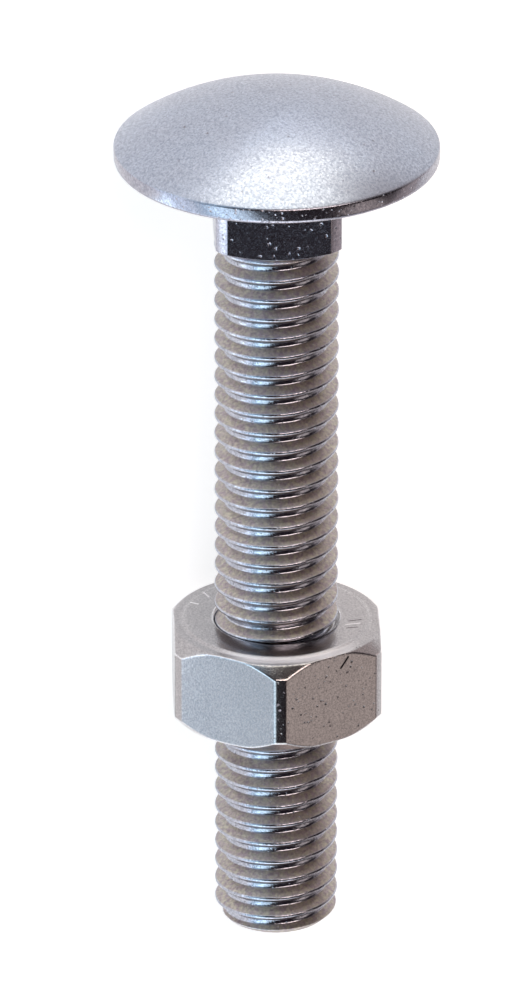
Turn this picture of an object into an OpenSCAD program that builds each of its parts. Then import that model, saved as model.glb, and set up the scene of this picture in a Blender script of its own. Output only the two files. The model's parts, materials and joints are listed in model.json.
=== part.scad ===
// Metric carriage bolt with its hex nut: domed head, square neck, threaded to the neck.
// Each piece is drawn upright on the Z axis, with the head's bearing face at z = 0 and the
// thread below it, and is then laid down as it comes to rest: on the rim of the head and on
// the lower edge of one nut flat.

/* [Head] */
// Outside diameter of the domed head
head_d = 15.55; // [13:0.05:24]
// Height from the bearing face to the top of the dome
head_h = 3.25; // [2.4:0.05:6]
// Thickness of the head at its rim
rim_h = 0.77; // [0.5:0.01:1.4]
// Rounding of the rim's lower edge
rim_round = 0.25; // [0.05:0.05:0.35]
// Rounding between the rim and the dome
dome_round = 0.1; // [0.05:0.05:0.15]

/* [Square neck] */
// Width of the neck across its flats
neck_w = 6; // [5.2:0.05:8]
// Diameter of the circle that rounds the neck's corners
neck_corner_d = 7.77; // [7.4:0.05:8.2]
// Depth of the neck below the head
neck_h = 4; // [2.5:0.05:8]
// Depth that the cone under the neck takes off its corners
neck_cone = 0.35; // [0.1:0.05:0.8]
// Turn of the neck's flats from the upright
neck_turn = 29.8; // [-45:0.1:45]

/* [Thread] */
// Major diameter of the thread
thread_d = 6; // [5:0.05:7]
// Pitch, the travel of the nut in one turn
pitch = 1; // [0.75:0.05:1.5]
// Length of the bolt below its head
bolt_l = 40.2; // [32:0.1:80]
// Depth of the 45 degree chamfer on the thread's end
end_chamfer = 0.5; // [0.2:0.05:1]
// Turn of the thread about the bolt's axis
thread_turn = 230; // [0:1:360]

/* [Nut] */
// Width of the nut across its flats
nut_w = 10; // [9:0.1:14]
// Width of the nut across its rounded corners
nut_corner_d = 11.2; // [10.4:0.1:16]
// Height of the nut
nut_h = 4.85; // [3:0.05:8]
// Diameter of the flat round part of the nut's two faces
nut_face_d = 8.9; // [8:0.1:14]
// Fall of the shallow crown between the round face and the flats
crown_drop = 0.08; // [0.02:0.01:0.2]
// Fall of the corner chamfer, from the face to the rounded corner
corner_drop = 0.72; // [0.3:0.01:1.2]
// Distance from the head's bearing face to the near face of the nut
nut_place = 24.2; // [8:0.1:50]
// Play between the thread's crests and the nut's bore, on the radius
nut_play = 0.04; // [0.01:0.01:0.1]
// Depth of the countersinks at both ends of the nut's bore
bore_sink = 0.06; // [0.03:0.01:0.4]

/* [Hidden] */
$fn = 96;
steel = [0.72, 0.72, 0.76];
nut_steel = [0.68, 0.69, 0.71];

// Head: a shallow cap that meets the rim's upper rounding on a common tangent.
head_r = head_d / 2;
cap_h = head_h - rim_h;
dome_r = (head_r * head_r + cap_h * cap_h) / (2 * cap_h);
dome_z = head_h - dome_r;
dome_edge_r = head_r - dome_round;
dome_edge_z = dome_z + sqrt(pow(dome_r - dome_round, 2) - pow(dome_edge_r, 2));
dome_reach_r = dome_edge_r * dome_r / (dome_r - dome_round);
seat_r = head_r - rim_round;

// Thread: metric 60 degree form, with a flat crest of an eighth of the pitch and a flat root
// of a quarter of it.
thread_r = thread_d / 2;
thread_depth = 0.5413 * pitch;
root_r = thread_r - thread_depth;
crest_w = pitch / 8;
flank_w = thread_depth * tan(30);
root_w = pitch - crest_w - 2 * flank_w;
// Corners of one turn's profile, as radius and height above the turn's lower end.
thread_profile = [
    [root_r, 0],
    [root_r, root_w],
    [thread_r, root_w + flank_w],
    [thread_r, root_w + flank_w + crest_w],
];
// Facets in one turn of the thread.
turn_steps = 24;
// The ribbon of turns starts below the bolt's end, a whole number of turns from the head's
// bearing face, and stops inside the neck.
ribbon_low = -pitch * (ceil(bolt_l / pitch) + 1);
ribbon_turns = ceil((-ribbon_low - neck_h) / pitch) + 1;
ribbon_steps = ribbon_turns * turn_steps;
// Depth that the shank's core reaches into the neck, and the neck into the head.
joint_depth = 0.4;

// Nut: the crown ends just outside the flats, and the corner chamfer falls from there, so
// the middle of a flat is its longest part.
nut_face_r = nut_face_d / 2;
nut_corner_r = nut_corner_d / 2;
crown_r = nut_w / 2 * 1.01;
flat_drop = crown_drop * (nut_w / 2 - nut_face_r) / (crown_r - nut_face_r);
bore_r = thread_r + nut_play;

// Resting attitude: the line that touches the head's rounded rim and the nut's far flat edge.
rest_run = nut_place + nut_h - flat_drop + rim_round;
rest_fall = seat_r - nut_w / 2;
rest_tilt = atan2(rest_fall, rest_run) + asin(rim_round / norm([rest_run, rest_fall]));

// Point on the ribbon: step counts along the helix and corner counts through the profile.
function ribbon_point(step, corner) =
    let (
        angle = 360 * step / turn_steps,
        radius = thread_profile[corner][0],
        rise = pitch * step / turn_steps + thread_profile[corner][1]
    )
    [radius * cos(angle), radius * sin(angle), ribbon_low + rise];

// A turn's last corner is the first corner of the turn above it. Past the last full turn
// only that first corner is left.
function ribbon_index(step, corner) =
    corner == 4 ? ribbon_index(step + turn_steps, 0)
    : step <= ribbon_steps ? 4 * step + corner
    : 4 * (ribbon_steps + 1) + step - ribbon_steps - 1;

// Right-hand thread as one closed solid, with a fan of triangles over each stepped end.
module thread_ribbon() {
    sides = [
        for (step = [0 : ribbon_steps - 1], corner = [0 : 3])
            let (
                low = ribbon_index(step, corner),
                high = ribbon_index(step, corner + 1),
                next_low = ribbon_index(step + 1, corner),
                next_high = ribbon_index(step + 1, corner + 1)
            )
            each [[low, high, next_low], [next_low, high, next_high]]
    ];
    points = concat(
        [for (step = [0 : ribbon_steps], corner = [0 : 3]) ribbon_point(step, corner)],
        [for (step = [ribbon_steps + 1 : ribbon_steps + turn_steps]) ribbon_point(step, 0)],
        [[0, 0, ribbon_low + pitch / 2], [0, 0, ribbon_low + (ribbon_turns + 0.5) * pitch]]
    );
    low_loop = ribbon_loop(0);
    high_loop = ribbon_loop(ribbon_steps);
    low_centre = len(points) - 2;
    high_centre = len(points) - 1;
    ends = [
        for (i = [0 : len(low_loop) - 1])
            let (j = (i + 1) % len(low_loop))
            each [
                [low_centre, low_loop[i], low_loop[j]],
                [high_centre, high_loop[j], high_loop[i]],
            ]
    ];
    polyhedron(points, concat(sides, ends));
}

// Open edge of the ribbon at one end: once round the helix, then back down the profile.
function ribbon_loop(start) = concat(
    [for (step = [0 : turn_steps]) ribbon_index(start + step, 0)],
    [for (corner = [3 : -1 : 1]) ribbon_index(start, corner)]
);

// Limits of the threaded shank: its run-out at the neck and the chamfer at its end.
module shank_limits() {
    reach_r = thread_r + end_chamfer;
    run_out_z = -neck_h + joint_depth;
    rotate_extrude()
        polygon([
            [0, run_out_z],
            [0, -bolt_l],
            [thread_r - end_chamfer, -bolt_l],
            [reach_r, -bolt_l + 2 * end_chamfer],
            [reach_r, run_out_z - (reach_r - root_r)],
            [root_r, run_out_z],
        ]);
}

module shank() {
    intersection() {
        rotate(thread_turn)
            thread_ribbon();
        shank_limits();
    }
}

// Square prism with rounded corners, whose lower end a flat cone trims at the corners.
module neck() {
    neck_corner_r = neck_corner_d / 2;
    intersection() {
        translate([0, 0, -neck_h])
            linear_extrude(neck_h + joint_depth)
                rotate(-neck_turn)
                    square(neck_w, center = true);
        rotate_extrude()
            polygon([
                [0, joint_depth],
                [0, -neck_h],
                [neck_w * 0.48, -neck_h],
                [neck_corner_r, -neck_h + neck_cone],
                [neck_corner_r, joint_depth],
            ]);
    }
}

// Half section of the head: dome, rim and the two rounded edges of the rim.
module head_section() {
    intersection() {
        translate([0, dome_z])
            circle(dome_r);
        square([dome_reach_r, head_h]);
    }
    square([seat_r, rim_round]);
    translate([0, rim_round])
        square([head_r, dome_edge_z - rim_round]);
    translate([seat_r, rim_round])
        circle(rim_round);
    translate([dome_edge_r, dome_edge_z])
        circle(dome_round);
}

module head() {
    rotate_extrude()
        head_section();
}

// Places a piece drawn upright in the attitude in which the bolt lies.
module laid_down() {
    rotate([0, rest_tilt - 90, 0])
        children();
}

module carriage_bolt() {
    color(steel)
        laid_down() {
            head();
            neck();
            shank();
        }
}

// Hexagon with one flat straight down when the bolt lies.
module nut_blank() {
    intersection() {
        rotate(30)
            cylinder(h = nut_h, d = nut_w / cos(30), $fn = 6);
        rotate_extrude()
            polygon([
                [0, 0],
                [nut_face_r, 0],
                [crown_r, crown_drop],
                [nut_corner_r, corner_drop],
                [nut_corner_r, nut_h - corner_drop],
                [crown_r, nut_h - crown_drop],
                [nut_face_r, nut_h],
                [0, nut_h],
            ]);
    }
}

// Through bore with a countersink at each end.
module nut_bore() {
    rotate_extrude()
        polygon([
            [0, -bore_sink],
            [bore_r + 2 * bore_sink, -bore_sink],
            [bore_r, bore_sink],
            [bore_r, nut_h - bore_sink],
            [bore_r + 2 * bore_sink, nut_h + bore_sink],
            [0, nut_h + bore_sink],
        ]);
}

module hex_nut() {
    color(nut_steel)
        laid_down()
            translate([0, 0, -nut_place - nut_h])
                difference() {
                    nut_blank();
                    nut_bore();
                }
}

carriage_bolt();
hex_nut();
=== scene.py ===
"""Looks of a zinc-plated carriage bolt and its hex nut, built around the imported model.

Both pieces are modelled upright, with the head's bearing face at z = 0, the head above it and the
thread below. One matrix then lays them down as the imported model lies. Lengths are in metres, and
angles are in degrees.
"""

import json
import logging
import math
from collections.abc import Sequence
from dataclasses import dataclass, field
from enum import Enum

import bmesh
import bpy
from mathutils import Matrix, Vector


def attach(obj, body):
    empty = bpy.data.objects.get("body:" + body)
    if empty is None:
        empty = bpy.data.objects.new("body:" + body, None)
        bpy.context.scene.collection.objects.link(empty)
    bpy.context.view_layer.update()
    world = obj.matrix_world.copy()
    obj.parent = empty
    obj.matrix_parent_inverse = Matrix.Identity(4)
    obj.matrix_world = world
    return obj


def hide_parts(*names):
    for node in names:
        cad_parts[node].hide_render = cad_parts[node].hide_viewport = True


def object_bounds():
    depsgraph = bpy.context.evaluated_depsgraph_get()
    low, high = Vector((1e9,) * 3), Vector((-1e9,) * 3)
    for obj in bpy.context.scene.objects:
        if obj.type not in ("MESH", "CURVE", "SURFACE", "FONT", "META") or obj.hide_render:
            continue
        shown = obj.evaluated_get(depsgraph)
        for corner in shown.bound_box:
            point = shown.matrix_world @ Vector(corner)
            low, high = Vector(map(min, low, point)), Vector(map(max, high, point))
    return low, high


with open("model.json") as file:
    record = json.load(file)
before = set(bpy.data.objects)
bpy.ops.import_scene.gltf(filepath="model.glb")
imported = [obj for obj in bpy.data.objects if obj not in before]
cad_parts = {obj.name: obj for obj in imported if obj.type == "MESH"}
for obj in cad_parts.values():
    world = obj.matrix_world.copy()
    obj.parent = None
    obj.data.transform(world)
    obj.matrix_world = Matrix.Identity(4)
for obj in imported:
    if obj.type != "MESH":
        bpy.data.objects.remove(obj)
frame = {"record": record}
CAD_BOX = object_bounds()

Piece, Mesh, Tree, Node = bpy.types.Object, bmesh.types.BMesh, bpy.types.NodeTree, bpy.types.Node
# What an input socket can be linked to.
Source = Node | bpy.types.NodeSocket

MM = 0.001
MERGE_DISTANCE = 0.0005 * MM
CREASE_ANGLE = 32
PHOTO_HEIGHT = 1000

log = logging.getLogger("carriage_bolt")


class Solver(Enum):
    """What a boolean does with the two closed meshes that it is given."""

    JOIN = "UNION"
    CUT = "DIFFERENCE"
    KEEP_COMMON = "INTERSECT"


@dataclass(frozen=True)
class BoltAxes:
    """Directions of the lying bolt in the row frame.

    Attributes:
        up: Square to the bolt's axis, in the upright plane through it.
        side: Level, square to the axis.
        head: Along the axis, towards the head.
    """

    up: Vector
    side: Vector
    head: Vector

    @classmethod
    def from_mount(cls, axis: Sequence[float]) -> "BoltAxes":
        """Works the three directions out from the mount that looks down the thread.

        Args:
            axis: The mount's axis, from the head towards the thread's end.

        Returns:
            The axes of the lying bolt.
        """
        head = -Vector(axis).normalized()
        side = Vector((0, 1, 0))
        return cls(up=side.cross(head).normalized(), side=side, head=head)

    def matrix(self) -> Matrix:
        """Matrix that lays an upright piece down."""
        columns = Matrix((self.up, self.side, self.head)).transposed()
        return columns.to_4x4()

    def around(self, azimuth: float, elevation: float) -> Vector:
        """Direction given round the bolt as it stands.

        Args:
            azimuth: Turn from up towards the side.
            elevation: Tilt from there towards the head.

        Returns:
            A unit direction in the row frame.
        """
        turn, tilt = math.radians(azimuth), math.radians(elevation)
        level = self.up * math.cos(turn) + self.side * math.sin(turn)
        return level * math.cos(tilt) + self.head * math.sin(tilt)


def wire(mesh: Mesh, points: Sequence[tuple[float, float]]) -> list[bmesh.types.BMVert]:
    """Draws an open outline as edges in the XZ plane.

    Args:
        mesh: The bmesh to draw in.
        points: Distance from the axis and height of each corner.

    Returns:
        The outline's vertices, in order.
    """
    corners = [mesh.verts.new((radius, 0, height)) for radius, height in points]
    for first, second in zip(corners, corners[1:]):
        mesh.edges.new((first, second))
    return corners


def round_corner(mesh: Mesh, corner: bmesh.types.BMVert, cut: float, segments: int) -> None:
    """Rounds one corner of an outline.

    Args:
        mesh: The bmesh that holds the outline.
        corner: The corner to round.
        cut: Length that the rounding takes from each side.
        segments: Edges in the rounding.
    """
    bmesh.ops.bevel(
        mesh, geom=[corner], offset=cut, affect="VERTICES",
        segments=segments, profile=0.5, material=-1,
    )


def turn_solid(mesh: Mesh, steps: int) -> None:
    """Spins an outline that starts and ends on the axis into a closed solid.

    Args:
        mesh: The bmesh that holds the outline and nothing else.
        steps: Facets in the full turn.
    """
    bmesh.ops.spin(
        mesh, geom=mesh.verts[:] + mesh.edges[:], cent=(0, 0, 0), axis=(0, 0, 1),
        angle=math.tau, steps=steps, use_merge=True,
    )
    close_mesh(mesh)


def close_mesh(mesh: Mesh) -> None:
    """Merges doubled vertices and turns every face outwards."""
    bmesh.ops.remove_doubles(mesh, verts=mesh.verts[:], dist=MERGE_DISTANCE)
    bmesh.ops.recalc_face_normals(mesh, faces=mesh.faces[:])


def slice_flat(mesh: Mesh, point: Vector, outward: Vector) -> None:
    """Cuts a closed solid with a plane, drops what lies outside and closes the cut.

    Args:
        mesh: The bmesh to cut.
        point: A point on the plane.
        outward: The plane's normal, towards what is dropped.
    """
    cut = bmesh.ops.bisect_plane(
        mesh, geom=mesh.verts[:] + mesh.edges[:] + mesh.faces[:], dist=MERGE_DISTANCE / 10,
        plane_co=point, plane_no=outward, clear_outer=True,
    )
    rim = [item for item in cut["geom_cut"] if isinstance(item, bmesh.types.BMEdge)]
    bmesh.ops.contextual_create(mesh, geom=rim)


def cut_flats(mesh: Mesh, count: int, width: float, turn: float = 0.0) -> None:
    """Cuts evenly spaced flats round an upright solid.

    Args:
        mesh: The bmesh to cut.
        count: Number of flats.
        width: Width across opposite flats.
        turn: Turn of the first flat from the up side.
    """
    for side in range(count):
        angle = math.radians(turn + 360 / count * side)
        outward = Vector((math.cos(angle), math.sin(angle), 0))
        slice_flat(mesh, outward * width / 2, outward)


def to_object(mesh: Mesh, name: str) -> Piece:
    """Makes a linked object from a bmesh, and frees the bmesh."""
    data = bpy.data.meshes.new(name)
    mesh.to_mesh(data)
    mesh.free()
    made = bpy.data.objects.new(name, data)
    bpy.context.scene.collection.objects.link(made)
    return made


def combine(base: Piece, other: Piece, how: Solver) -> None:
    """Joins, cuts or trims one closed object with another, which is then deleted.

    Args:
        base: The object that stays and takes the result.
        other: The object that is used up.
        how: What is done with the two.
    """
    modifier = base.modifiers.new("combine", "BOOLEAN")
    modifier.object = other
    modifier.operation = how.value
    modifier.solver = "MANIFOLD"
    graph = bpy.context.evaluated_depsgraph_get()
    result = bpy.data.meshes.new_from_object(base.evaluated_get(graph))
    base.modifiers.clear()
    used, old = other.data, base.data
    result.name = base.name
    result.materials.clear()
    base.data = result
    bpy.data.objects.remove(other)
    bpy.data.meshes.remove(used)
    bpy.data.meshes.remove(old)


@dataclass
class ThreadForm:
    """Metric 60 degree thread, right-handed, as it is rolled on the bolt.

    Attributes:
        pitch: Rise of one turn.
        radius: Distance of the crests from the axis.
        depth: Radial depth of the roots.
        crest_width: Width of the flat crest.
        crest_cut: Rounding of the crest's two corners.
        root_cut: Rounding of the root's two corners.
        phase: Height of a crest's centre on the axes' up side, modulo the pitch.
        steps: Facets in one turn.
    """

    pitch: float = 1.0 * MM
    radius: float = 3.0 * MM
    depth: float = 0.5413 * MM
    crest_width: float = 0.125 * MM
    crest_cut: float = 0.045 * MM
    root_cut: float = 0.06 * MM
    phase: float = 0.9861 * MM
    steps: int = 96

    def core_radius(self) -> float:
        """Distance of the roots from the axis."""
        return self.radius - self.depth

    def sweep(self, low: float, high: float, play: float = 0.0) -> Mesh:
        """Winds the thread as one closed solid that is flat at both ends.

        Args:
            low: Height of its lower end.
            high: Height of its upper end.
            play: Growth of the whole form, square to the axis.

        Returns:
            A bmesh with the closed solid.
        """
        crest, root = self.radius + play, self.core_radius() + play
        flank = self.depth * math.tan(math.radians(30))
        half_crest = self.crest_width / 2
        half_root = self.pitch / 2 - half_crest - flank
        start = low - 2 * self.pitch
        start += (self.phase - self.pitch / 2 - start) % self.pitch
        turns = math.ceil((high - start) / self.pitch) + 2

        mesh = bmesh.new()
        corners = wire(mesh, [
            (root, start),
            (root, start + half_root),
            (crest, start + half_root + flank),
            (crest, start + half_root + flank + 2 * half_crest),
            (root, start + self.pitch - half_root),
            (root, start + self.pitch),
        ])
        for corner in (corners[1], corners[4]):
            round_corner(mesh, corner, self.root_cut, 3)
        for corner in (corners[2], corners[3]):
            round_corner(mesh, corner, self.crest_cut, 3)
        bmesh.ops.spin(
            mesh, geom=mesh.verts[:] + mesh.edges[:], cent=(0, 0, 0), axis=(0, 0, 1),
            dvec=(0, 0, self.pitch / self.steps), angle=math.tau, steps=self.steps,
        )
        one_turn = mesh.verts[:] + mesh.edges[:] + mesh.faces[:]
        for turn in range(1, turns):
            copy = bmesh.ops.duplicate(mesh, geom=one_turn)
            moved = [item for item in copy["geom"] if isinstance(item, bmesh.types.BMVert)]
            bmesh.ops.translate(mesh, verts=moved, vec=(0, 0, turn * self.pitch))
        close_mesh(mesh)
        slice_flat(mesh, Vector((0, 0, low)), Vector((0, 0, -1)))
        slice_flat(mesh, Vector((0, 0, high)), Vector((0, 0, 1)))
        close_mesh(mesh)
        return mesh


@dataclass
class CarriageBolt:
    """The bolt: domed head, square neck and threaded shank, headed and rolled from one blank.

    Attributes:
        axes: Directions of the lying bolt.
        length: Length below the head.
        thread: The rolled thread.
        head_radius: Outside radius of the head.
        head_height: Height of the dome's top above the bearing face.
        rim_height: Height at which the rim would meet the dome if that edge were sharp.
        rim_round: Rounding of the rim's lower edge.
        dome_round: Rounding between the rim and the dome.
        neck_width: Width of the neck across its flats.
        neck_corner_radius: Radius of the circle that rounds the neck's corners.
        neck_depth: Depth of the neck below the head.
        neck_cone: Depth of the cone that trims the neck's lower corners.
        neck_turn: Turn of the neck's flats from the up side.
        edge: Softness of the neck's edges.
        end_chamfer: Depth of the chamfer at the thread's end.
        joint: Depth that each section reaches into the next, before they are joined.
        dome_steps: Facets from the dome's top to its edge.
        steps: Facets round the head.
    """

    axes: BoltAxes
    length: float
    thread: ThreadForm = field(default_factory=ThreadForm)
    head_radius: float = 7.775 * MM
    head_height: float = 3.25 * MM
    rim_height: float = 0.77 * MM
    rim_round: float = 0.25 * MM
    dome_round: float = 0.1 * MM
    neck_width: float = 6.0 * MM
    neck_corner_radius: float = 3.885 * MM
    neck_depth: float = 4.0 * MM
    neck_cone: float = 0.35 * MM
    neck_turn: float = -29.8
    edge: float = 0.05 * MM
    end_chamfer: float = 0.5 * MM
    joint: float = 0.4 * MM
    dome_steps: int = 36
    steps: int = 192

    def head(self) -> Mesh:
        """Turned head: a shallow dome, a rounded rim and a flat bearing face."""
        rise = self.head_height - self.rim_height
        dome_radius = (self.head_radius ** 2 + rise ** 2) / (2 * rise)
        reach = math.asin(self.head_radius / dome_radius)
        mesh = bmesh.new()
        top = mesh.verts.new((0, 0, self.head_height))
        bmesh.ops.spin(
            mesh, geom=[top], cent=(0, 0, self.head_height - dome_radius),
            axis=(0, 1, 0), angle=reach, steps=self.dome_steps,
        )
        edge = max(mesh.verts, key=lambda vertex: vertex.co.x)
        rest = wire(mesh, [(self.head_radius, 0), (0, 0)])
        mesh.edges.new((edge, rest[0]))
        round_corner(mesh, rest[0], self.rim_round, 8)
        round_corner(mesh, edge, self.dome_round * math.tan(reach / 2 + math.pi / 8), 4)
        turn_solid(mesh, self.steps)
        return mesh

    def neck(self) -> Mesh:
        """Square neck: a turned slug with four flats, softened along their edges."""
        mesh = bmesh.new()
        wire(mesh, [
            (0, self.joint),
            (self.neck_corner_radius, self.joint),
            (self.neck_corner_radius, self.neck_cone - self.neck_depth),
            (self.neck_width * 0.48, -self.neck_depth),
            (0, -self.neck_depth),
        ])
        turn_solid(mesh, self.steps)
        cut_flats(mesh, 4, self.neck_width, self.neck_turn)
        below_head = [
            edge for edge in mesh.edges
            if edge.calc_face_angle(0) > math.radians(12) and min(v.co.z for v in edge.verts) < 0
        ]
        bmesh.ops.bevel(
            mesh, geom=below_head, offset=self.edge, affect="EDGES",
            segments=3, profile=0.5, material=-1, clamp_overlap=True,
        )
        close_mesh(mesh)
        return mesh

    def shank_limits(self) -> Mesh:
        """Turned solid that gives the shank its run-out under the neck and its end chamfer."""
        reach = self.thread.radius + self.end_chamfer
        core = self.thread.core_radius()
        top = self.joint - self.neck_depth
        mesh = bmesh.new()
        corners = wire(mesh, [
            (0, top),
            (core, top),
            (reach, top - (reach - core)),
            (reach, 2 * self.end_chamfer - self.length),
            (self.thread.radius - self.end_chamfer, -self.length),
            (0, -self.length),
        ])
        round_corner(mesh, corners[4], self.edge, 3)
        turn_solid(mesh, self.steps)
        return mesh

    def build(self) -> Piece:
        """Joins head, neck and shank into one closed mesh and lays it down.

        Returns:
            The bolt, riding on its body in place of the CAD node.
        """
        below = self.length + self.joint
        shank = to_object(self.thread.sweep(-below, 0), "shank")
        combine(shank, to_object(self.shank_limits(), "shank_limits"), Solver.KEEP_COMMON)
        bolt = to_object(self.head(), "zinc_carriage_bolt")
        combine(bolt, to_object(self.neck(), "neck"), Solver.JOIN)
        combine(bolt, shank, Solver.JOIN)
        bolt.data.transform(self.axes.matrix())
        smooth_by_angle(bolt, CREASE_ANGLE)
        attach(bolt, "bolt")
        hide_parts("carriage_bolt")
        return bolt

    def dress(self, bolt: Piece) -> Piece:
        """Gives the head, the neck and the thread their finishes.

        Args:
            bolt: The built bolt.

        Returns:
            The same bolt.
        """
        finishes = (
            ZincPlate("zinc_plate_on_forged_head"),
            ZincPlate(
                "zinc_plate_on_square_neck", colour="#BBB6C0", roughness=0.16,
                pitting=Pitting(cell=0.3 * MM, share=0.5, depth=0.03 * MM),
            ),
            RolledZincPlate(
                "zinc_plate_on_rolled_thread", colour="#C9CCD6", roughness=0.12, dulling=0.06,
                grain_height=0.012 * MM,
                pitting=Pitting(cell=0.16 * MM, share=0.5, depth=0.03 * MM, colour="#BDBFC8"),
                axis=self.axes.head,
                core=self.thread.core_radius(), crest=self.thread.radius,
            ),
            ZincPlate(
                "zinc_plate_on_head_rim", colour="#AEA9B2", roughness=0.18,
                pitting=Pitting(cell=0.24 * MM, share=0.8, depth=0.05 * MM, colour="#D0CCD4"),
            ),
        )
        for finish in finishes:
            bolt.data.materials.append(finish.material())
        rim_start = self.head_radius - self.rim_round
        for face in bolt.data.polygons:
            height = face.center.dot(self.axes.head)
            if height < -self.neck_depth + MERGE_DISTANCE:
                face.material_index = 2
            elif height < -MERGE_DISTANCE:
                face.material_index = 1
            elif height < self.rim_height and (face.center - height * self.axes.head).length > rim_start:
                face.material_index = 3
        return bolt


@dataclass
class HexNut:
    """The hex nut: a turned blank with six flats and a tapped bore.

    Attributes:
        axes: Directions of the lying bolt.
        place: Distance of its near face below the head's bearing face.
        thread: The thread that its tap cuts, which meshes with the bolt's.
        width: Width across the flats.
        corner_radius: Radius of the circle that rounds the corners.
        height: Height of the nut.
        face_radius: Radius of the flat part of each face.
        face_bevel: Width of the bevel round the raised face.
        crown_radius: Radius at which the shelf round that bevel gives way to the corner chamfer.
        crown_drop: Fall from the raised face to the shelf.
        corner_drop: Fall from the face to the corner.
        sink: Depth of the countersinks.
        play: Clearance between the two threads.
        shoulder: Rounding between the shelf and the corner chamfer.
        edge: Softness of the edges round the flats.
        steps: Facets round the nut.
    """

    axes: BoltAxes
    place: float
    thread: ThreadForm = field(default_factory=ThreadForm)
    width: float = 10.0 * MM
    corner_radius: float = 5.6 * MM
    height: float = 4.85 * MM
    face_radius: float = 4.45 * MM
    crown_radius: float = 5.05 * MM
    face_bevel: float = 0.14 * MM
    crown_drop: float = 0.11 * MM
    corner_drop: float = 0.72 * MM
    sink: float = 0.06 * MM
    play: float = 0.04 * MM
    shoulder: float = 0.12 * MM
    edge: float = 0.14 * MM
    steps: int = 192

    def blank(self) -> Mesh:
        """Turned blank with its crowns and chamfers, cut to a hexagon."""
        near, far = -self.place, -self.place - self.height
        mesh = bmesh.new()
        corners = wire(mesh, [
            (0, near),
            (self.face_radius, near),
            (self.face_radius + self.face_bevel, near - self.crown_drop),
            (self.crown_radius, near - self.crown_drop),
            (self.corner_radius, near - self.corner_drop),
            (self.corner_radius, far + self.corner_drop),
            (self.crown_radius, far + self.crown_drop),
            (self.face_radius + self.face_bevel, far + self.crown_drop),
            (self.face_radius, far),
            (0, far),
        ])
        for corner in (corners[1], corners[2], corners[7], corners[8]):
            round_corner(mesh, corner, self.face_bevel / 3, 3)
        for corner in (corners[3], corners[6]):
            round_corner(mesh, corner, self.shoulder, 5)
        turn_solid(mesh, self.steps)
        cut_flats(mesh, 6, self.width)
        close_mesh(mesh)
        return mesh

    def countersink(self, face: float, outward: float) -> Mesh:
        """Cone that opens one end of the bore.

        Args:
            face: Height of the face that it opens in.
            outward: 1 if the nut ends upwards there, and -1 if downwards.

        Returns:
            A bmesh with the closed cone.
        """
        reach = self.thread.radius + self.play + self.sink
        mesh = bmesh.new()
        wire(mesh, [
            (0, face + outward * self.sink),
            (reach + self.sink, face + outward * self.sink),
            (reach - 5 * self.sink, face - outward * 5 * self.sink),
            (0, face - outward * 5 * self.sink),
        ])
        turn_solid(mesh, self.steps)
        return mesh

    def build(self) -> Piece:
        """Cuts the tapped bore through the blank and lays the nut down.

        Returns:
            The nut, riding on its body in place of the CAD node.
        """
        near, far = -self.place, -self.place - self.height
        nut = to_object(self.blank(), "zinc_hex_nut")
        tap = self.thread.sweep(far - self.thread.pitch, near + self.thread.pitch, self.play)
        combine(nut, to_object(tap, "tap"), Solver.CUT)
        combine(nut, to_object(self.countersink(near, 1), "near_sink"), Solver.CUT)
        combine(nut, to_object(self.countersink(far, -1), "far_sink"), Solver.CUT)
        nut.data.transform(self.axes.matrix())
        smooth_by_angle(nut, CREASE_ANGLE)
        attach(nut, "nut")
        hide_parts("hex_nut")
        return nut

    def dress(self, nut: Piece) -> Piece:
        """Gives the nut its finish.

        Args:
            nut: The built nut.

        Returns:
            The same nut.
        """
        worn_side = self.axes.around(0, 0)
        scratches = tuple(
            Scratch(self.spot(*start), self.spot(*end), width * MM, colour)
            for start, end, width, colour in (
                ((5.0, 0.95, 0.37), (5.0, 0.55, 0.85), 0.12, "#2B2628"),
                ((5.0, 0.77, 0.11), (5.0, 0.83, 0.30), 0.06, "#E9E6E4"),
                ((-3.89, -2.92, 0.0), (-3.17, -2.50, 0.0), 0.09, "#F2F1F2"),
                ((-4.18, -1.59, 0.0), (-3.55, -1.64, 0.0), 0.08, "#E9E6E9"),
                ((2.31, 2.71, 0.0), (2.48, 3.29, 0.0), 0.08, "#504A4D"),
                ((2.56, 2.38, 0.0), (2.78, 3.04, 0.0), 0.08, "#EFECEE"),
                ((2.91, 2.21, 0.0), (3.08, 2.68, 0.0), 0.07, "#4E484B"),
                ((4.93, -2.66, 1.36), (4.95, -2.63, 1.40), 0.05, "#CDBDC4"),
                ((4.80, -2.89, 1.98), (4.78, -2.92, 2.05), 0.07, "#D3C3CA"),
                ((4.85, -2.81, 2.31), (4.83, -2.84, 2.33), 0.09, "#DFCFD6"),
                ((4.79, -2.90, 2.78), (4.80, -2.89, 2.83), 0.05, "#C9B9C0"),
            )
        )
        # Matt scuffing on the near face's crown, painted near-white towards the front as a highlight.
        turn = math.radians(-24)
        scuff_and_highlight = ScuffAndPaintedHighlight(
            centre=self.spot(0, 0, 0.06), middle=self.spot(4.74 * math.cos(turn), 4.74 * math.sin(turn), 0.06),
            axis=self.axes.head, drop=0.06 * MM, width=0.6 * MM, reach=4.1 * MM, colour="#FCFAFD",
        )
        nut.data.materials.append(ZincPlate(
            "zinc_plate_on_barrelled_nut", colour="#B9B6B8", tint="#AFACAE", mottle="#D6D6D8",
            roughness=0.16, dulling=0.08, grain=0.08 * MM, grain_height=0.004 * MM, edge=self.edge,
            pitting=Pitting(
                cell=0.24 * MM, share=0.5, depth=0.03 * MM, colour="#4A4544",
                side=worn_side, reach=self.width / 2 - 0.2 * MM,
            ),
            scratches=(*scratches, scuff_and_highlight),
        ).material())
        return nut

    def spot(self, up: float, side: float, depth: float) -> Vector:
        """Finds a point on the nut.

        Args:
            up: Distance from the axis towards the up side, in millimetres.
            side: Distance from the axis towards the side, in millimetres.
            depth: Distance below the nut's near face, in millimetres.

        Returns:
            The point in the row frame.
        """
        return self.axes.matrix() @ Vector((up * MM, side * MM, -self.place - depth * MM))


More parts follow.
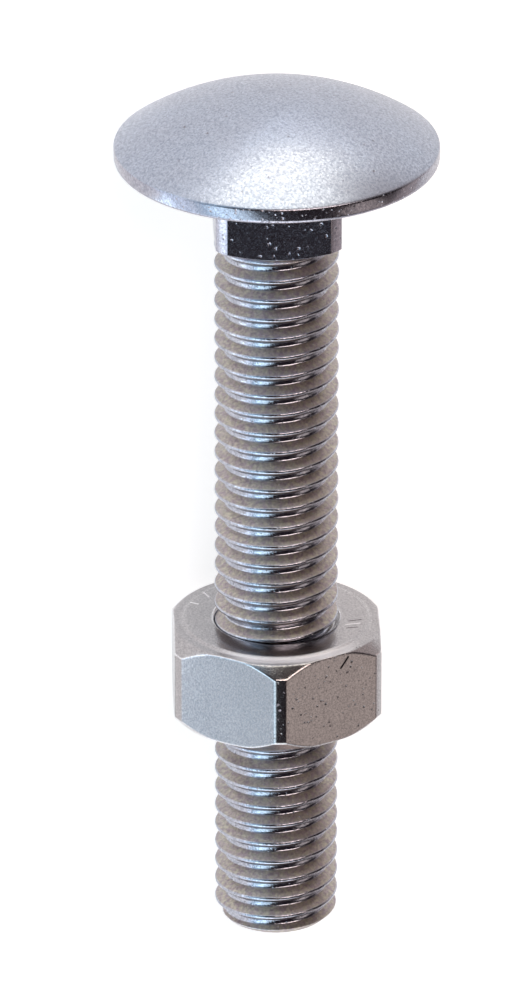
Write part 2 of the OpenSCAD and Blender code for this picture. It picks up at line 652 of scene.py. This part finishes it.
def smooth_by_angle(piece: Piece, limit: float) -> None:
    """Shades a piece smooth, apart from edges sharper than a limit.

    Args:
        piece: The object to shade.
        limit: Angle between two faces, in degrees, over which their edge stays crisp.
    """
    piece.data.shade_smooth()
    piece.data.set_sharp_from_angle(angle=math.radians(limit))
    # Large faces set the normals, so that a flat stays flat up to its rounded edges.
    weights = piece.modifiers.new("crisp_flats", "WEIGHTED_NORMAL")
    weights.keep_sharp = True


def linear(code: str) -> tuple[float, float, float, float]:
    """Turns an sRGB hex colour into the linear colour that shaders take.

    Args:
        code: Six hex digits after a hash sign.

    Returns:
        Red, green, blue and an alpha of 1.
    """
    parts = (int(code[start:start + 2], 16) / 255 for start in (1, 3, 5))
    red, green, blue = (c / 12.92 if c <= 0.04045 else ((c + 0.055) / 1.055) ** 2.4 for c in parts)
    return red, green, blue, 1.0


def add_node(
    tree: Tree,
    kind: str,
    links: dict[str | int, Source] | None = None,
    values: dict[str | int, object] | None = None,
    **settings: object,
) -> Node:
    """Adds a node with its settings, socket values and incoming links.

    Args:
        tree: The node tree.
        kind: Blender's name for the node's type.
        links: What is linked, by the name or number of the input that takes it: an output, or a
            node, which gives its first output in use.
        values: Values of input sockets, by name or number.
        settings: Properties of the node itself.

    Returns:
        The new node.
    """
    node = tree.nodes.new(kind)
    for name, value in settings.items():
        setattr(node, name, value)
    for socket, value in (values or {}).items():
        node.inputs[socket].default_value = value
    for socket, source in (links or {}).items():
        if isinstance(source, Node):
            source = next(output for output in source.outputs if output.enabled)
        tree.links.new(source, node.inputs[socket])
    return node


class Mark:
    """Something that changes the plating in places."""

    def mask(self, tree: Tree, place: Source) -> Source:
        """Works out where the marks are.

        Args:
            tree: The node tree.
            place: The point on the surface.

        Returns:
            A source that is 1 on the marks and 0 beside them.
        """
        raise NotImplementedError


@dataclass(frozen=True)
class Pitting(Mark):
    """Small irregular pits, thick on one side of a piece.

    Attributes:
        cell: Size of the cells that may hold a pit each.
        share: Share of the cells that have one.
        depth: Depth of the pits.
        colour: Colour in the bottom of a pit.
        side: Direction of the side that has them, in the row frame, or none for all round.
        reach: Distance from the axis along that direction beyond which they are thick.
    """

    cell: float = 0.4 * MM
    share: float = 0.1
    depth: float = 0.02 * MM
    colour: str = "#77747C"
    side: Vector | None = None
    reach: float = 0.0

    def mask(self, tree: Tree, place: Source) -> Source:
        """Finds the bottoms of the pits."""
        jitter = add_node(
            tree, "ShaderNodeTexNoise", {"Vector": place}, {"Scale": 2.5 / self.cell, "Detail": 1.0},
        )
        bent = add_node(
            tree, "ShaderNodeVectorMath", {0: jitter.outputs["Color"], 2: place},
            {1: (0.4 * self.cell,) * 3}, operation="MULTIPLY_ADD",
        )
        cells = add_node(tree, "ShaderNodeTexVoronoi", {"Vector": bent}, {"Scale": 1 / self.cell})
        luck = add_node(tree, "ShaderNodeSeparateColor", {"Color": cells.outputs["Color"]})
        chosen = add_node(
            tree, "ShaderNodeMapRange", {"Value": luck.outputs[0]},
            {"From Min": self.share, "From Max": 0.6 * self.share},
        )
        # A cell's second random number sets how wide its pit is.
        width = add_node(
            tree, "ShaderNodeMapRange", {"Value": luck.outputs[1]}, {"To Min": 0.14, "To Max": 0.34},
        )
        bowl = add_node(
            tree, "ShaderNodeMapRange", {"Value": cells.outputs["Distance"], "From Max": width},
            {"From Min": 0.04, "To Min": 1.0, "To Max": 0.0}, interpolation_type="SMOOTHSTEP",
        )
        pits = add_node(tree, "ShaderNodeMath", {0: chosen, 1: bowl}, operation="MULTIPLY")
        if self.side is None:
            return pits
        across = add_node(tree, "ShaderNodeVectorMath", {0: place}, {1: self.side}, operation="DOT_PRODUCT")
        near = add_node(
            tree, "ShaderNodeMapRange", {"Value": across},
            {"From Min": self.reach - 0.3 * MM, "From Max": self.reach},
        )
        return add_node(tree, "ShaderNodeMath", {0: pits, 1: near}, operation="MULTIPLY")


@dataclass(frozen=True)
class Scratch(Mark):
    """A short straight scratch.

    Attributes:
        start: One end, in the row frame.
        end: The other end.
        width: Width of the scratch.
        colour: Colour in it: dark for a gouge, pale for a rub.
        roughness: Roughness in it.
    """

    start: Vector
    end: Vector
    width: float
    colour: str
    roughness: float = 0.5

    def mask(self, tree: Tree, place: Source) -> Source:
        """Finds the scratch."""
        run = self.end - self.start
        offset = add_node(tree, "ShaderNodeVectorMath", {0: place}, {1: self.start}, operation="SUBTRACT")
        share = add_node(
            tree, "ShaderNodeVectorMath", {0: offset}, {1: run / run.length_squared},
            operation="DOT_PRODUCT",
        )
        share = add_node(tree, "ShaderNodeClamp", {"Value": share})
        foot = add_node(tree, "ShaderNodeVectorMath", {"Scale": share}, {0: run}, operation="SCALE")
        gap = add_node(tree, "ShaderNodeVectorMath", {0: offset, 1: foot}, operation="DISTANCE")
        return add_node(
            tree, "ShaderNodeMapRange", {"Value": gap},
            {"From Min": 0.65 * self.width, "From Max": 0.25 * self.width},
        )


@dataclass(frozen=True)
class ScuffAndPaintedHighlight(Mark):
    """Fine scuffing in an arc, as a washer leaves it: matt, with a near-white colour that is a painted
    highlight on the nut's crown.

    Attributes:
        centre: Middle of the circle that it follows, in the row frame.
        middle: Middle of the arc.
        axis: Direction out of the scuffed face.
        drop: Depth below the arc down to which the metal is scuffed.
        width: Width of the arc.
        reach: Distance from the arc's middle at which it, and its painted highlight, has faded out.
        colour: Colour of the scuffed plating, near-white as a painted highlight.
        roughness: Roughness of the scuffed plating.
    """

    centre: Vector
    middle: Vector
    axis: Vector
    drop: float
    width: float
    reach: float
    colour: str
    roughness: float = 0.7

    def mask(self, tree: Tree, place: Source) -> Source:
        """Finds the scuffing and its painted highlight."""
        spoke = add_node(tree, "ShaderNodeVectorMath", {0: place}, {1: self.centre}, operation="DISTANCE")
        gap = add_node(
            tree, "ShaderNodeMath", {0: spoke},
            {1: (self.middle - self.centre).length}, operation="SUBTRACT",
        )
        gap = add_node(tree, "ShaderNodeMath", {0: gap}, operation="ABSOLUTE")
        across = add_node(
            tree, "ShaderNodeMapRange", {"Value": gap},
            {"From Min": 0.7 * self.width, "From Max": 0.2 * self.width},
            interpolation_type="SMOOTHSTEP",
        )
        # Fades the scuff, and its painted highlight, away from the arc's middle at the front.
        far = add_node(tree, "ShaderNodeVectorMath", {0: place}, {1: self.middle}, operation="DISTANCE")
        along = add_node(
            tree, "ShaderNodeMapRange", {"Value": far},
            {"From Min": self.reach, "From Max": 0.4 * self.reach},
            interpolation_type="SMOOTHSTEP",
        )
        offset = add_node(tree, "ShaderNodeVectorMath", {0: place}, {1: self.centre}, operation="SUBTRACT")
        height = add_node(tree, "ShaderNodeVectorMath", {0: offset}, {1: self.axis}, operation="DOT_PRODUCT")
        shallow = add_node(
            tree, "ShaderNodeMapRange", {"Value": height},
            {"From Min": -2 * self.drop, "From Max": -self.drop},
        )
        mask = across
        for factor in (along, shallow):
            mask = add_node(tree, "ShaderNodeMath", {0: mask, 1: factor}, operation="MULTIPLY")
        return mask


@dataclass(frozen=True)
class ZincPlate:
    """Bright zinc plating, barrel-plated over cold-formed steel.

    Barrel plating gives it a cool grey colour and a satin gloss that is mottled like fine leather:
    tiny darker and lighter worms, finer than a tenth of a millimetre on the real bolt and drawn a
    little coarser here, so that they show in the picture.

    Attributes:
        name: Name of the material.
        colour: Colour of the plating.
        mottle: Shade that the dark parts of the mottling are darkened with.
        tint: Colour that it drifts to in broad, faint patches.
        roughness: Roughness where the plating is smoothest.
        dulling: What the mottling adds to the roughness at most.
        patch: Size of the broad patches.
        wave: Size of the uneven patches left by the dies.
        wave_height: Height of that unevenness.
        grain: Size of the mottling.
        grain_height: Height of the mottling.
        edge: Radius to which tumbling in the barrel has rounded the edges, or 0.
        burnish: Colour of those edges, which tumbling has also polished bright.
        edge_roughness: Roughness of those edges.
        pitting: The pits.
        scratches: The scratches, and the scuffs with their painted highlight.
    """

    name: str
    colour: str = "#B1BACA"
    mottle: str = "#D4D5D9"
    tint: str = "#B0B4C1"
    roughness: float = 0.27
    dulling: float = 0.12
    patch: float = 2.5 * MM
    wave: float = 1.6 * MM
    wave_height: float = 0.004 * MM
    grain: float = 0.12 * MM
    grain_height: float = 0.005 * MM
    edge: float = 0.0
    burnish: str = "#F0F0F3"
    edge_roughness: float = 0.07
    pitting: Pitting = Pitting()
    scratches: tuple[Scratch | ScuffAndPaintedHighlight, ...] = ()

    def material(self) -> bpy.types.Material:
        """Builds the node tree of the plating.

        Returns:
            The material.
        """
        made = bpy.data.materials.new(self.name)
        made.use_nodes = True
        tree = made.node_tree
        tree.nodes.clear()
        place = add_node(tree, "ShaderNodeTexCoord").outputs["Object"]
        grain = add_node(
            tree, "ShaderNodeTexNoise", {"Vector": place},
            {"Scale": 1 / self.grain, "Detail": 2.0, "Roughness": 0.6, "Distortion": 0.6},
        )
        pits = self.pitting.mask(tree, place)
        gloss = add_node(
            tree, "ShaderNodeMapRange", {"Value": grain},
            {
                "From Min": 0.35, "From Max": 0.65,
                "To Min": self.roughness, "To Max": self.roughness + self.dulling,
            },
        )
        shader = add_node(
            tree, "ShaderNodeBsdfPrincipled",
            {
                "Base Color": self.tone(tree, place, grain, pits),
                "Roughness": self.dull(tree, place, gloss),
                "Normal": self.relief(tree, place, grain, pits),
            },
            {"Metallic": 1.0},
        )
        add_node(tree, "ShaderNodeOutputMaterial", {"Surface": shader})
        return made

    def tone(self, tree: Tree, place: Source, grain: Source, pits: Source) -> Source:
        """Mixes the colours of the plating, its mottling, its pits and its scratches, with the painted
        highlight of any scuff.

        Args:
            tree: The node tree.
            place: The point on the surface.
            grain: The mottling, from 0 to 1.
            pits: The pits, from 0 to 1.

        Returns:
            The colour.
        """
        patches = add_node(
            tree, "ShaderNodeTexNoise", {"Vector": place},
            {"Scale": 1 / self.patch, "Detail": 3.0, "Roughness": 0.6},
        )
        colour = add_node(
            tree, "ShaderNodeMix", {"Factor": patches},
            {"A": linear(self.colour), "B": linear(self.tint)}, data_type="RGBA",
        )
        colour = self.shade(tree, place, colour)
        if self.edge:
            colour = add_node(
                tree, "ShaderNodeMix", {"Factor": self.worn_edges(tree), "A": colour},
                {"B": linear(self.burnish)}, data_type="RGBA",
            )
        worms = add_node(tree, "ShaderNodeMapRange", {"Value": grain}, {"From Min": 0.36, "From Max": 0.64})
        colour = add_node(
            tree, "ShaderNodeMix", {"Factor": worms, "A": colour},
            {"B": linear(self.mottle)}, data_type="RGBA", blend_type="MULTIPLY",
        )
        marks = [(pits, self.pitting.colour)]
        # A scuff's near-white colour here is a painted highlight.
        marks += [(scratch.mask(tree, place), scratch.colour) for scratch in self.scratches]
        for mask, paint in marks:
            colour = add_node(
                tree, "ShaderNodeMix", {"Factor": mask, "A": colour}, {"B": linear(paint)}, data_type="RGBA",
            )
        return colour

    def relief(self, tree: Tree, place: Source, grain: Source, pits: Source) -> Source:
        """Adds the unevenness of the metal, the mottling and the pits to the surface.

        Args:
            tree: The node tree.
            place: The point on the surface.
            grain: The mottling, from 0 to 1.
            pits: The pits, from 0 to 1.

        Returns:
            The normal.
        """
        waves = add_node(
            tree, "ShaderNodeTexNoise", {"Vector": place}, {"Scale": 1 / self.wave, "Detail": 1.0},
        )
        links = {"Height": waves}
        if self.edge:
            links["Normal"] = self.rounded(tree)
        uneven = add_node(tree, "ShaderNodeBump", links, {"Distance": self.wave_height})
        rough = add_node(
            tree, "ShaderNodeBump", {"Height": grain, "Normal": uneven},
            {"Distance": self.grain_height},
        )
        return add_node(
            tree, "ShaderNodeBump", {"Height": pits, "Normal": rough},
            {"Distance": self.pitting.depth}, invert=True,
        )

    def rounded(self, tree: Tree) -> Source:
        """Rounds the edges of the surface."""
        return add_node(tree, "ShaderNodeBevel", None, {"Radius": self.edge}, samples=8).outputs["Normal"]

    def worn_edges(self, tree: Tree) -> Source:
        """Works out where the rounded edges are.

        Args:
            tree: The node tree.

        Returns:
            A source that is 1 on the edges and 0 elsewhere.
        """
        plain = add_node(tree, "ShaderNodeNewGeometry").outputs["Normal"]
        same = add_node(
            tree, "ShaderNodeVectorMath", {0: self.rounded(tree), 1: plain}, operation="DOT_PRODUCT",
        )
        return add_node(tree, "ShaderNodeMapRange", {"Value": same}, {"From Min": 0.998, "From Max": 0.975})

    def shade(self, tree: Tree, place: Source, colour: Source) -> Source:
        """Gives a finish the chance to change the colour from place to place."""
        return colour

    def dull(self, tree: Tree, place: Source, gloss: Source) -> Source:
        """Polishes the rounded edges and roughens the scratches.

        Args:
            tree: The node tree.
            place: The point on the surface.
            gloss: Roughness of the plain surface.

        Returns:
            The roughness.
        """
        marks = [(self.worn_edges(tree), self.edge_roughness)] if self.edge else []
        marks += [(scratch.mask(tree, place), scratch.roughness) for scratch in self.scratches]
        for mask, roughness in marks:
            gloss = add_node(
                tree, "ShaderNodeMix", {"Factor": mask, "A": gloss}, {"B": roughness}, data_type="FLOAT",
            )
        return gloss


@dataclass(frozen=True)
class RolledZincPlate(ZincPlate):
    """Zinc plating on a rolled thread: dull, faintly yellow flanks between bright crests and roots; the
    flanks' warm colour is partly a painted reflection of light bounced between the turns.

    Attributes:
        axis: Direction of the bolt's axis.
        core: Distance of the roots from the axis.
        crest: Distance of the crests from the axis.
        edge: Radius of the crests' and roots' edges, over which a flank turns bright.
        flank_roughness: Roughness of the flanks.
        flank_colour: Colour of the flanks, warmed partly as a painted reflection of the light bounced between
            the turns.
        flank_tint: Mauve colour that they drift to in small patches, also partly painted reflection of bounced
            light.
        flank_patch: Size of those patches.
    """

    axis: Vector = Vector((1, 0, 0))
    core: float = 2.46 * MM
    crest: float = 3.0 * MM
    edge: float = 0.06 * MM
    flank_roughness: float = 0.45
    flank_colour: str = "#C6C0B2"
    flank_tint: str = "#B3A6AB"
    flank_patch: float = 0.22 * MM

    def on_flank(self, tree: Tree, place: Source) -> Source:
        """Works out where the flanks are, from the distance to the bolt's axis.

        Args:
            tree: The node tree.
            place: The point on the surface.

        Returns:
            A source that is 1 on the flanks and 0 on crests and roots.
        """
        along = add_node(tree, "ShaderNodeVectorMath", {0: place}, {1: self.axis}, operation="DOT_PRODUCT")
        foot = add_node(tree, "ShaderNodeVectorMath", {"Scale": along}, {0: self.axis}, operation="SCALE")
        spoke = add_node(tree, "ShaderNodeVectorMath", {0: place, 1: foot}, operation="SUBTRACT")
        radius = add_node(tree, "ShaderNodeVectorMath", {0: spoke}, operation="LENGTH")
        above_root, below_crest = (
            add_node(
                tree, "ShaderNodeMapRange", {"Value": radius},
                {"From Min": end + 0.3 * width, "From Max": end + 1.3 * width},
            )
            for end, width in ((self.core, self.edge), (self.crest, -self.edge))
        )
        return add_node(tree, "ShaderNodeMath", {0: above_root, 1: below_crest}, operation="MULTIPLY")

    def shade(self, tree: Tree, place: Source, colour: Source) -> Source:
        """Tints the flanks, partly with painted reflection of the light bounced between the turns."""
        patches = add_node(
            tree, "ShaderNodeTexNoise", {"Vector": place}, {"Scale": 1 / self.flank_patch, "Detail": 2.0},
        )
        drift = add_node(tree, "ShaderNodeMapRange", {"Value": patches}, {"From Min": 0.36, "From Max": 0.64})
        # The warm flank colours are partly painted reflection of light bounced between the turns.
        flank = add_node(
            tree, "ShaderNodeMix", {"Factor": drift},
            {"A": linear(self.flank_colour), "B": linear(self.flank_tint)}, data_type="RGBA",
        )
        return add_node(
            tree, "ShaderNodeMix",
            {"Factor": self.on_flank(tree, place), "A": colour, "B": flank}, data_type="RGBA",
        )

    def dull(self, tree: Tree, place: Source, gloss: Source) -> Source:
        """Roughens the flanks."""
        return add_node(
            tree, "ShaderNodeMix", {"Factor": self.on_flank(tree, place), "A": gloss},
            {"B": self.flank_roughness}, data_type="FLOAT",
        )


@dataclass(frozen=True)
class SoftLamp:
    """A soft light panel.

    Attributes:
        name: Name of the lamp.
        width: Width of its face.
        height: Height of its face.
        radiance: Brightness of its face, where 1 is a white surface in full light.
        colour: Colour of its light.
    """

    name: str
    width: float
    height: float
    radiance: float
    colour: str

    def hang(self, place: Vector, outward: Vector, turn: float = 0.0) -> None:
        """Makes the lamp.

        Args:
            place: The middle of its face, in the row frame.
            outward: Direction of its back.
            turn: Turn of its face in its own plane.
        """
        data = bpy.data.lights.new(self.name, "AREA")
        data.shape = "RECTANGLE"
        data.size, data.size_y = self.width, self.height
        data.energy = self.radiance * math.pi * self.width * self.height
        data.color = linear(self.colour)[:3]
        lamp = bpy.data.objects.new(self.name, data)
        bpy.context.scene.collection.objects.link(lamp)
        facing = outward.to_track_quat("Z", "Y").to_matrix().to_4x4()
        spin = Matrix.Rotation(math.radians(turn), 4, "Z")
        lamp.matrix_world = Matrix.Translation(place) @ facing @ spin
        lamp.visible_camera = False


@dataclass(frozen=True)
class StandingBox(SoftLamp):
    """A soft box that faces the bolt.

    Attributes:
        azimuth: Turn from up towards the side, seen from the bolt.
        elevation: Tilt from there towards the head.
        distance: Distance from the bolt's middle.
    """

    azimuth: float
    elevation: float
    distance: float = 0.6

    def place(self, axes: BoltAxes, aim: Vector) -> None:
        """Stands the box where it belongs."""
        outward = axes.around(self.azimuth, self.elevation)
        self.hang(aim + outward * self.distance, outward)


@dataclass(frozen=True)
class TablePanel(SoftLamp):
    """A light panel that lies on the floor and faces up.

    Attributes:
        middle: Its middle on the floor.
        turn: Turn of the panel on the floor.
        lift: Height of its face above the floor.
    """

    middle: tuple[float, float]
    turn: float = 0.0
    lift: float = 3 * MM

    def place(self, axes: BoltAxes, aim: Vector) -> None:
        """Lays the panel where it belongs."""
        height = CAD_BOX[0].z + self.lift
        self.hang(Vector((*self.middle, height)), Vector((0, 0, -1)), self.turn)


@dataclass
class Studio:
    """Plain pale floor and walls, soft lamps, and a camera at the photograph's angle.

    Attributes:
        axes: Directions of the lying bolt.
        floor_height: Height of the surface that the bolt lies on.
        view_azimuth: Turn of the camera from up towards the side.
        view_elevation: Tilt of the camera from there towards the head.
        view_distance: Distance from the camera to the middle of the picture.
        picture_middle: Place of the picture's middle: to the camera's right of the axis, and above
            the bearing face along it.
        pixels_per_metre: Scale of the picture at its middle.
        floor_size: Width of the floor.
        floor_glow: What the floor adds to its light as it is seen, directly or in the metal.
        lamps: The soft boxes and light panels.
    """

    axes: BoltAxes
    floor_height: float
    view_azimuth: float = -32.0
    view_elevation: float = 25.38
    view_distance: float = 0.547
    picture_middle: tuple[float, float] = (-1.056 * MM, -17.96 * MM)
    pixels_per_metre: float = 20720.0
    floor_size: float = 8.0
    floor_glow: float = 0.76
    lamps: tuple[StandingBox | TablePanel, ...] = (
        StandingBox("head_box", 0.42, 0.26, 2.2, "#FFF8E6", azimuth=14, elevation=82.6),
        TablePanel("head_panel", 0.26, 0.26, 2.3, "#FFF7E0", middle=(-0.213, -0.009), turn=41),
        TablePanel("halo_panel", 0.28, 0.28, 0.35, "#E4F0FF", middle=(-0.208, -0.009), turn=41),
        StandingBox("long_strip", 0.60, 0.30, 1.9, "#DCF4FF", azimuth=-64, elevation=-22),
        TablePanel("side_panel", 0.10, 0.08, 0.55, "#90D0FF", middle=(0.03, -0.058)),
        TablePanel("shank_panel", 0.050, 0.022, 0.5, "#E6F4FF", middle=(0.042, -0.030)),
        TablePanel("neck_panel", 0.009, 0.014, 1.8, "#DCF4FF", middle=(0.0105, -0.022), lift=0.5 * MM),
        StandingBox("warm_box", 0.24, 0.30, 0.75, "#FFEDE2", azimuth=32, elevation=-25),
        StandingBox("warm_front", 0.46, 0.20, 4.6, "#FFE8DC", azimuth=-6, elevation=36),
        StandingBox("tip_box", 0.50, 0.44, 1.8, "#FFFFFF", azimuth=-32, elevation=-66),
    )

    def build(self) -> None:
        """Sets up the camera, the floor, the walls and the lamps."""
        self.camera()
        self.floor()
        self.walls()
        aim = self.middle()
        for lamp in self.lamps:
            lamp.place(self.axes, aim)

    def middle(self) -> Vector:
        """Point in the middle of the picture."""
        right, above = self.picture_middle
        return self.axes.around(self.view_azimuth + 90, 0) * right + self.axes.head * above

    def camera(self) -> None:
        """Places the camera so that it looks down on the lying bolt, square to its axis."""
        outward = self.axes.around(self.view_azimuth, self.view_elevation)
        right = self.axes.around(self.view_azimuth + 90, 0)
        data = bpy.data.cameras.new("photo_camera")
        data.sensor_width = 36.0
        data.lens = data.sensor_width * self.pixels_per_metre * self.view_distance / PHOTO_HEIGHT
        data.clip_start, data.clip_end = 0.01, 20.0
        camera = bpy.data.objects.new("photo_camera", data)
        bpy.context.scene.collection.objects.link(camera)
        turn = Matrix((right, outward.cross(right), outward)).transposed()
        camera.matrix_world = Matrix.Translation(self.middle() + outward * self.view_distance) @ turn.to_4x4()
        bpy.context.scene.camera = camera

    def floor(self) -> None:
        """Lays the floor, which shows white and keeps the bolt's soft shadow."""
        mesh = bmesh.new()
        bmesh.ops.create_grid(mesh, x_segments=1, y_segments=1, size=self.floor_size / 2)
        bmesh.ops.translate(mesh, verts=mesh.verts[:], vec=(0, 0, self.floor_height))
        floor = to_object(mesh, "pale_floor")
        material = bpy.data.materials.new("matt_white_board")
        material.use_nodes = True
        tree = material.node_tree
        tree.nodes.clear()
        rays = add_node(tree, "ShaderNodeLightPath")
        shown = rays.outputs["Is Camera Ray"]
        for kind in ("Is Glossy Ray", "Is Transmission Ray"):
            shown = add_node(tree, "ShaderNodeMath", {0: shown, 1: rays.outputs[kind]}, operation="ADD")
        strength = add_node(tree, "ShaderNodeMath", {0: shown}, {1: self.floor_glow}, operation="MULTIPLY")
        glow = add_node(tree, "ShaderNodeEmission", {"Strength": strength}, {"Color": linear("#FFFFFF")})
        board = add_node(tree, "ShaderNodeBsdfDiffuse", None, {"Color": linear("#DCDCDC")})
        both = add_node(tree, "ShaderNodeAddShader", {0: board, 1: glow})
        add_node(tree, "ShaderNodeOutputMaterial", {"Surface": both})
        floor.data.materials.append(material)

    def walls(self) -> None:
        """Lights the room: pale walls up to a low height, cool on one side and warm on the other,
        under a dark ceiling."""
        world = bpy.data.worlds.new("studio_walls")
        world.use_nodes = True
        tree = world.node_tree
        tree.nodes.clear()
        outward = add_node(tree, "ShaderNodeTexCoord").outputs["Generated"]
        parts = add_node(tree, "ShaderNodeSeparateXYZ", {"Vector": outward})
        side = add_node(
            tree, "ShaderNodeMapRange", {"Value": parts.outputs["Y"]},
            {"From Min": -0.6, "From Max": 0.6},
        )
        wall = add_node(
            tree, "ShaderNodeMix", {"Factor": side},
            {"A": linear("#BCDAF0"), "B": linear("#D3C5C2")}, data_type="RGBA",
        )
        low, high = (
            add_node(tree, "ShaderNodeMapRange", {"Value": side}, {"To Min": cool, "To Max": warm})
            for cool, warm in ((0.28, 0.3), (0.44, 0.48))
        )
        rise = add_node(
            tree, "ShaderNodeMapRange",
            {"Value": parts.outputs["Z"], "From Min": low, "From Max": high},
            interpolation_type="SMOOTHSTEP",
        )
        shade = add_node(
            tree, "ShaderNodeMix", {"Factor": rise, "A": wall},
            {"B": linear("#2A2227")}, data_type="RGBA",
        )
        light = add_node(tree, "ShaderNodeBackground", {"Color": shade}, {"Strength": 1.0})
        add_node(tree, "ShaderNodeOutputWorld", {"Surface": light})
        bpy.context.scene.world = world


def report(piece: Piece) -> None:
    """Logs a finished piece's name and size."""
    log.info("%s: %d vertices, %d faces", piece.name, len(piece.data.vertices), len(piece.data.polygons))


def main() -> None:
    """Builds the pieces in order and reports each."""
    logging.basicConfig(level=logging.INFO, format="%(name)s: %(message)s")
    bpy.context.scene.view_settings.view_transform = "Standard"
    mounts = {mount["name"]: mount for mount in frame["record"]["mounts"]}
    axes = BoltAxes.from_mount(mounts["square_neck"]["axis"])
    length = -Vector(mounts["thread_end"]["pos_m"]).dot(axes.head)
    nut_place = -Vector(mounts["nut_seat"]["pos_m"]).dot(axes.head)
    Studio(axes, CAD_BOX[0].z).build()
    bolt = CarriageBolt(axes, length)
    report(bolt.dress(bolt.build()))
    nut = HexNut(axes, nut_place)
    report(nut.dress(nut.build()))


if __name__ == "__main__":
    main()
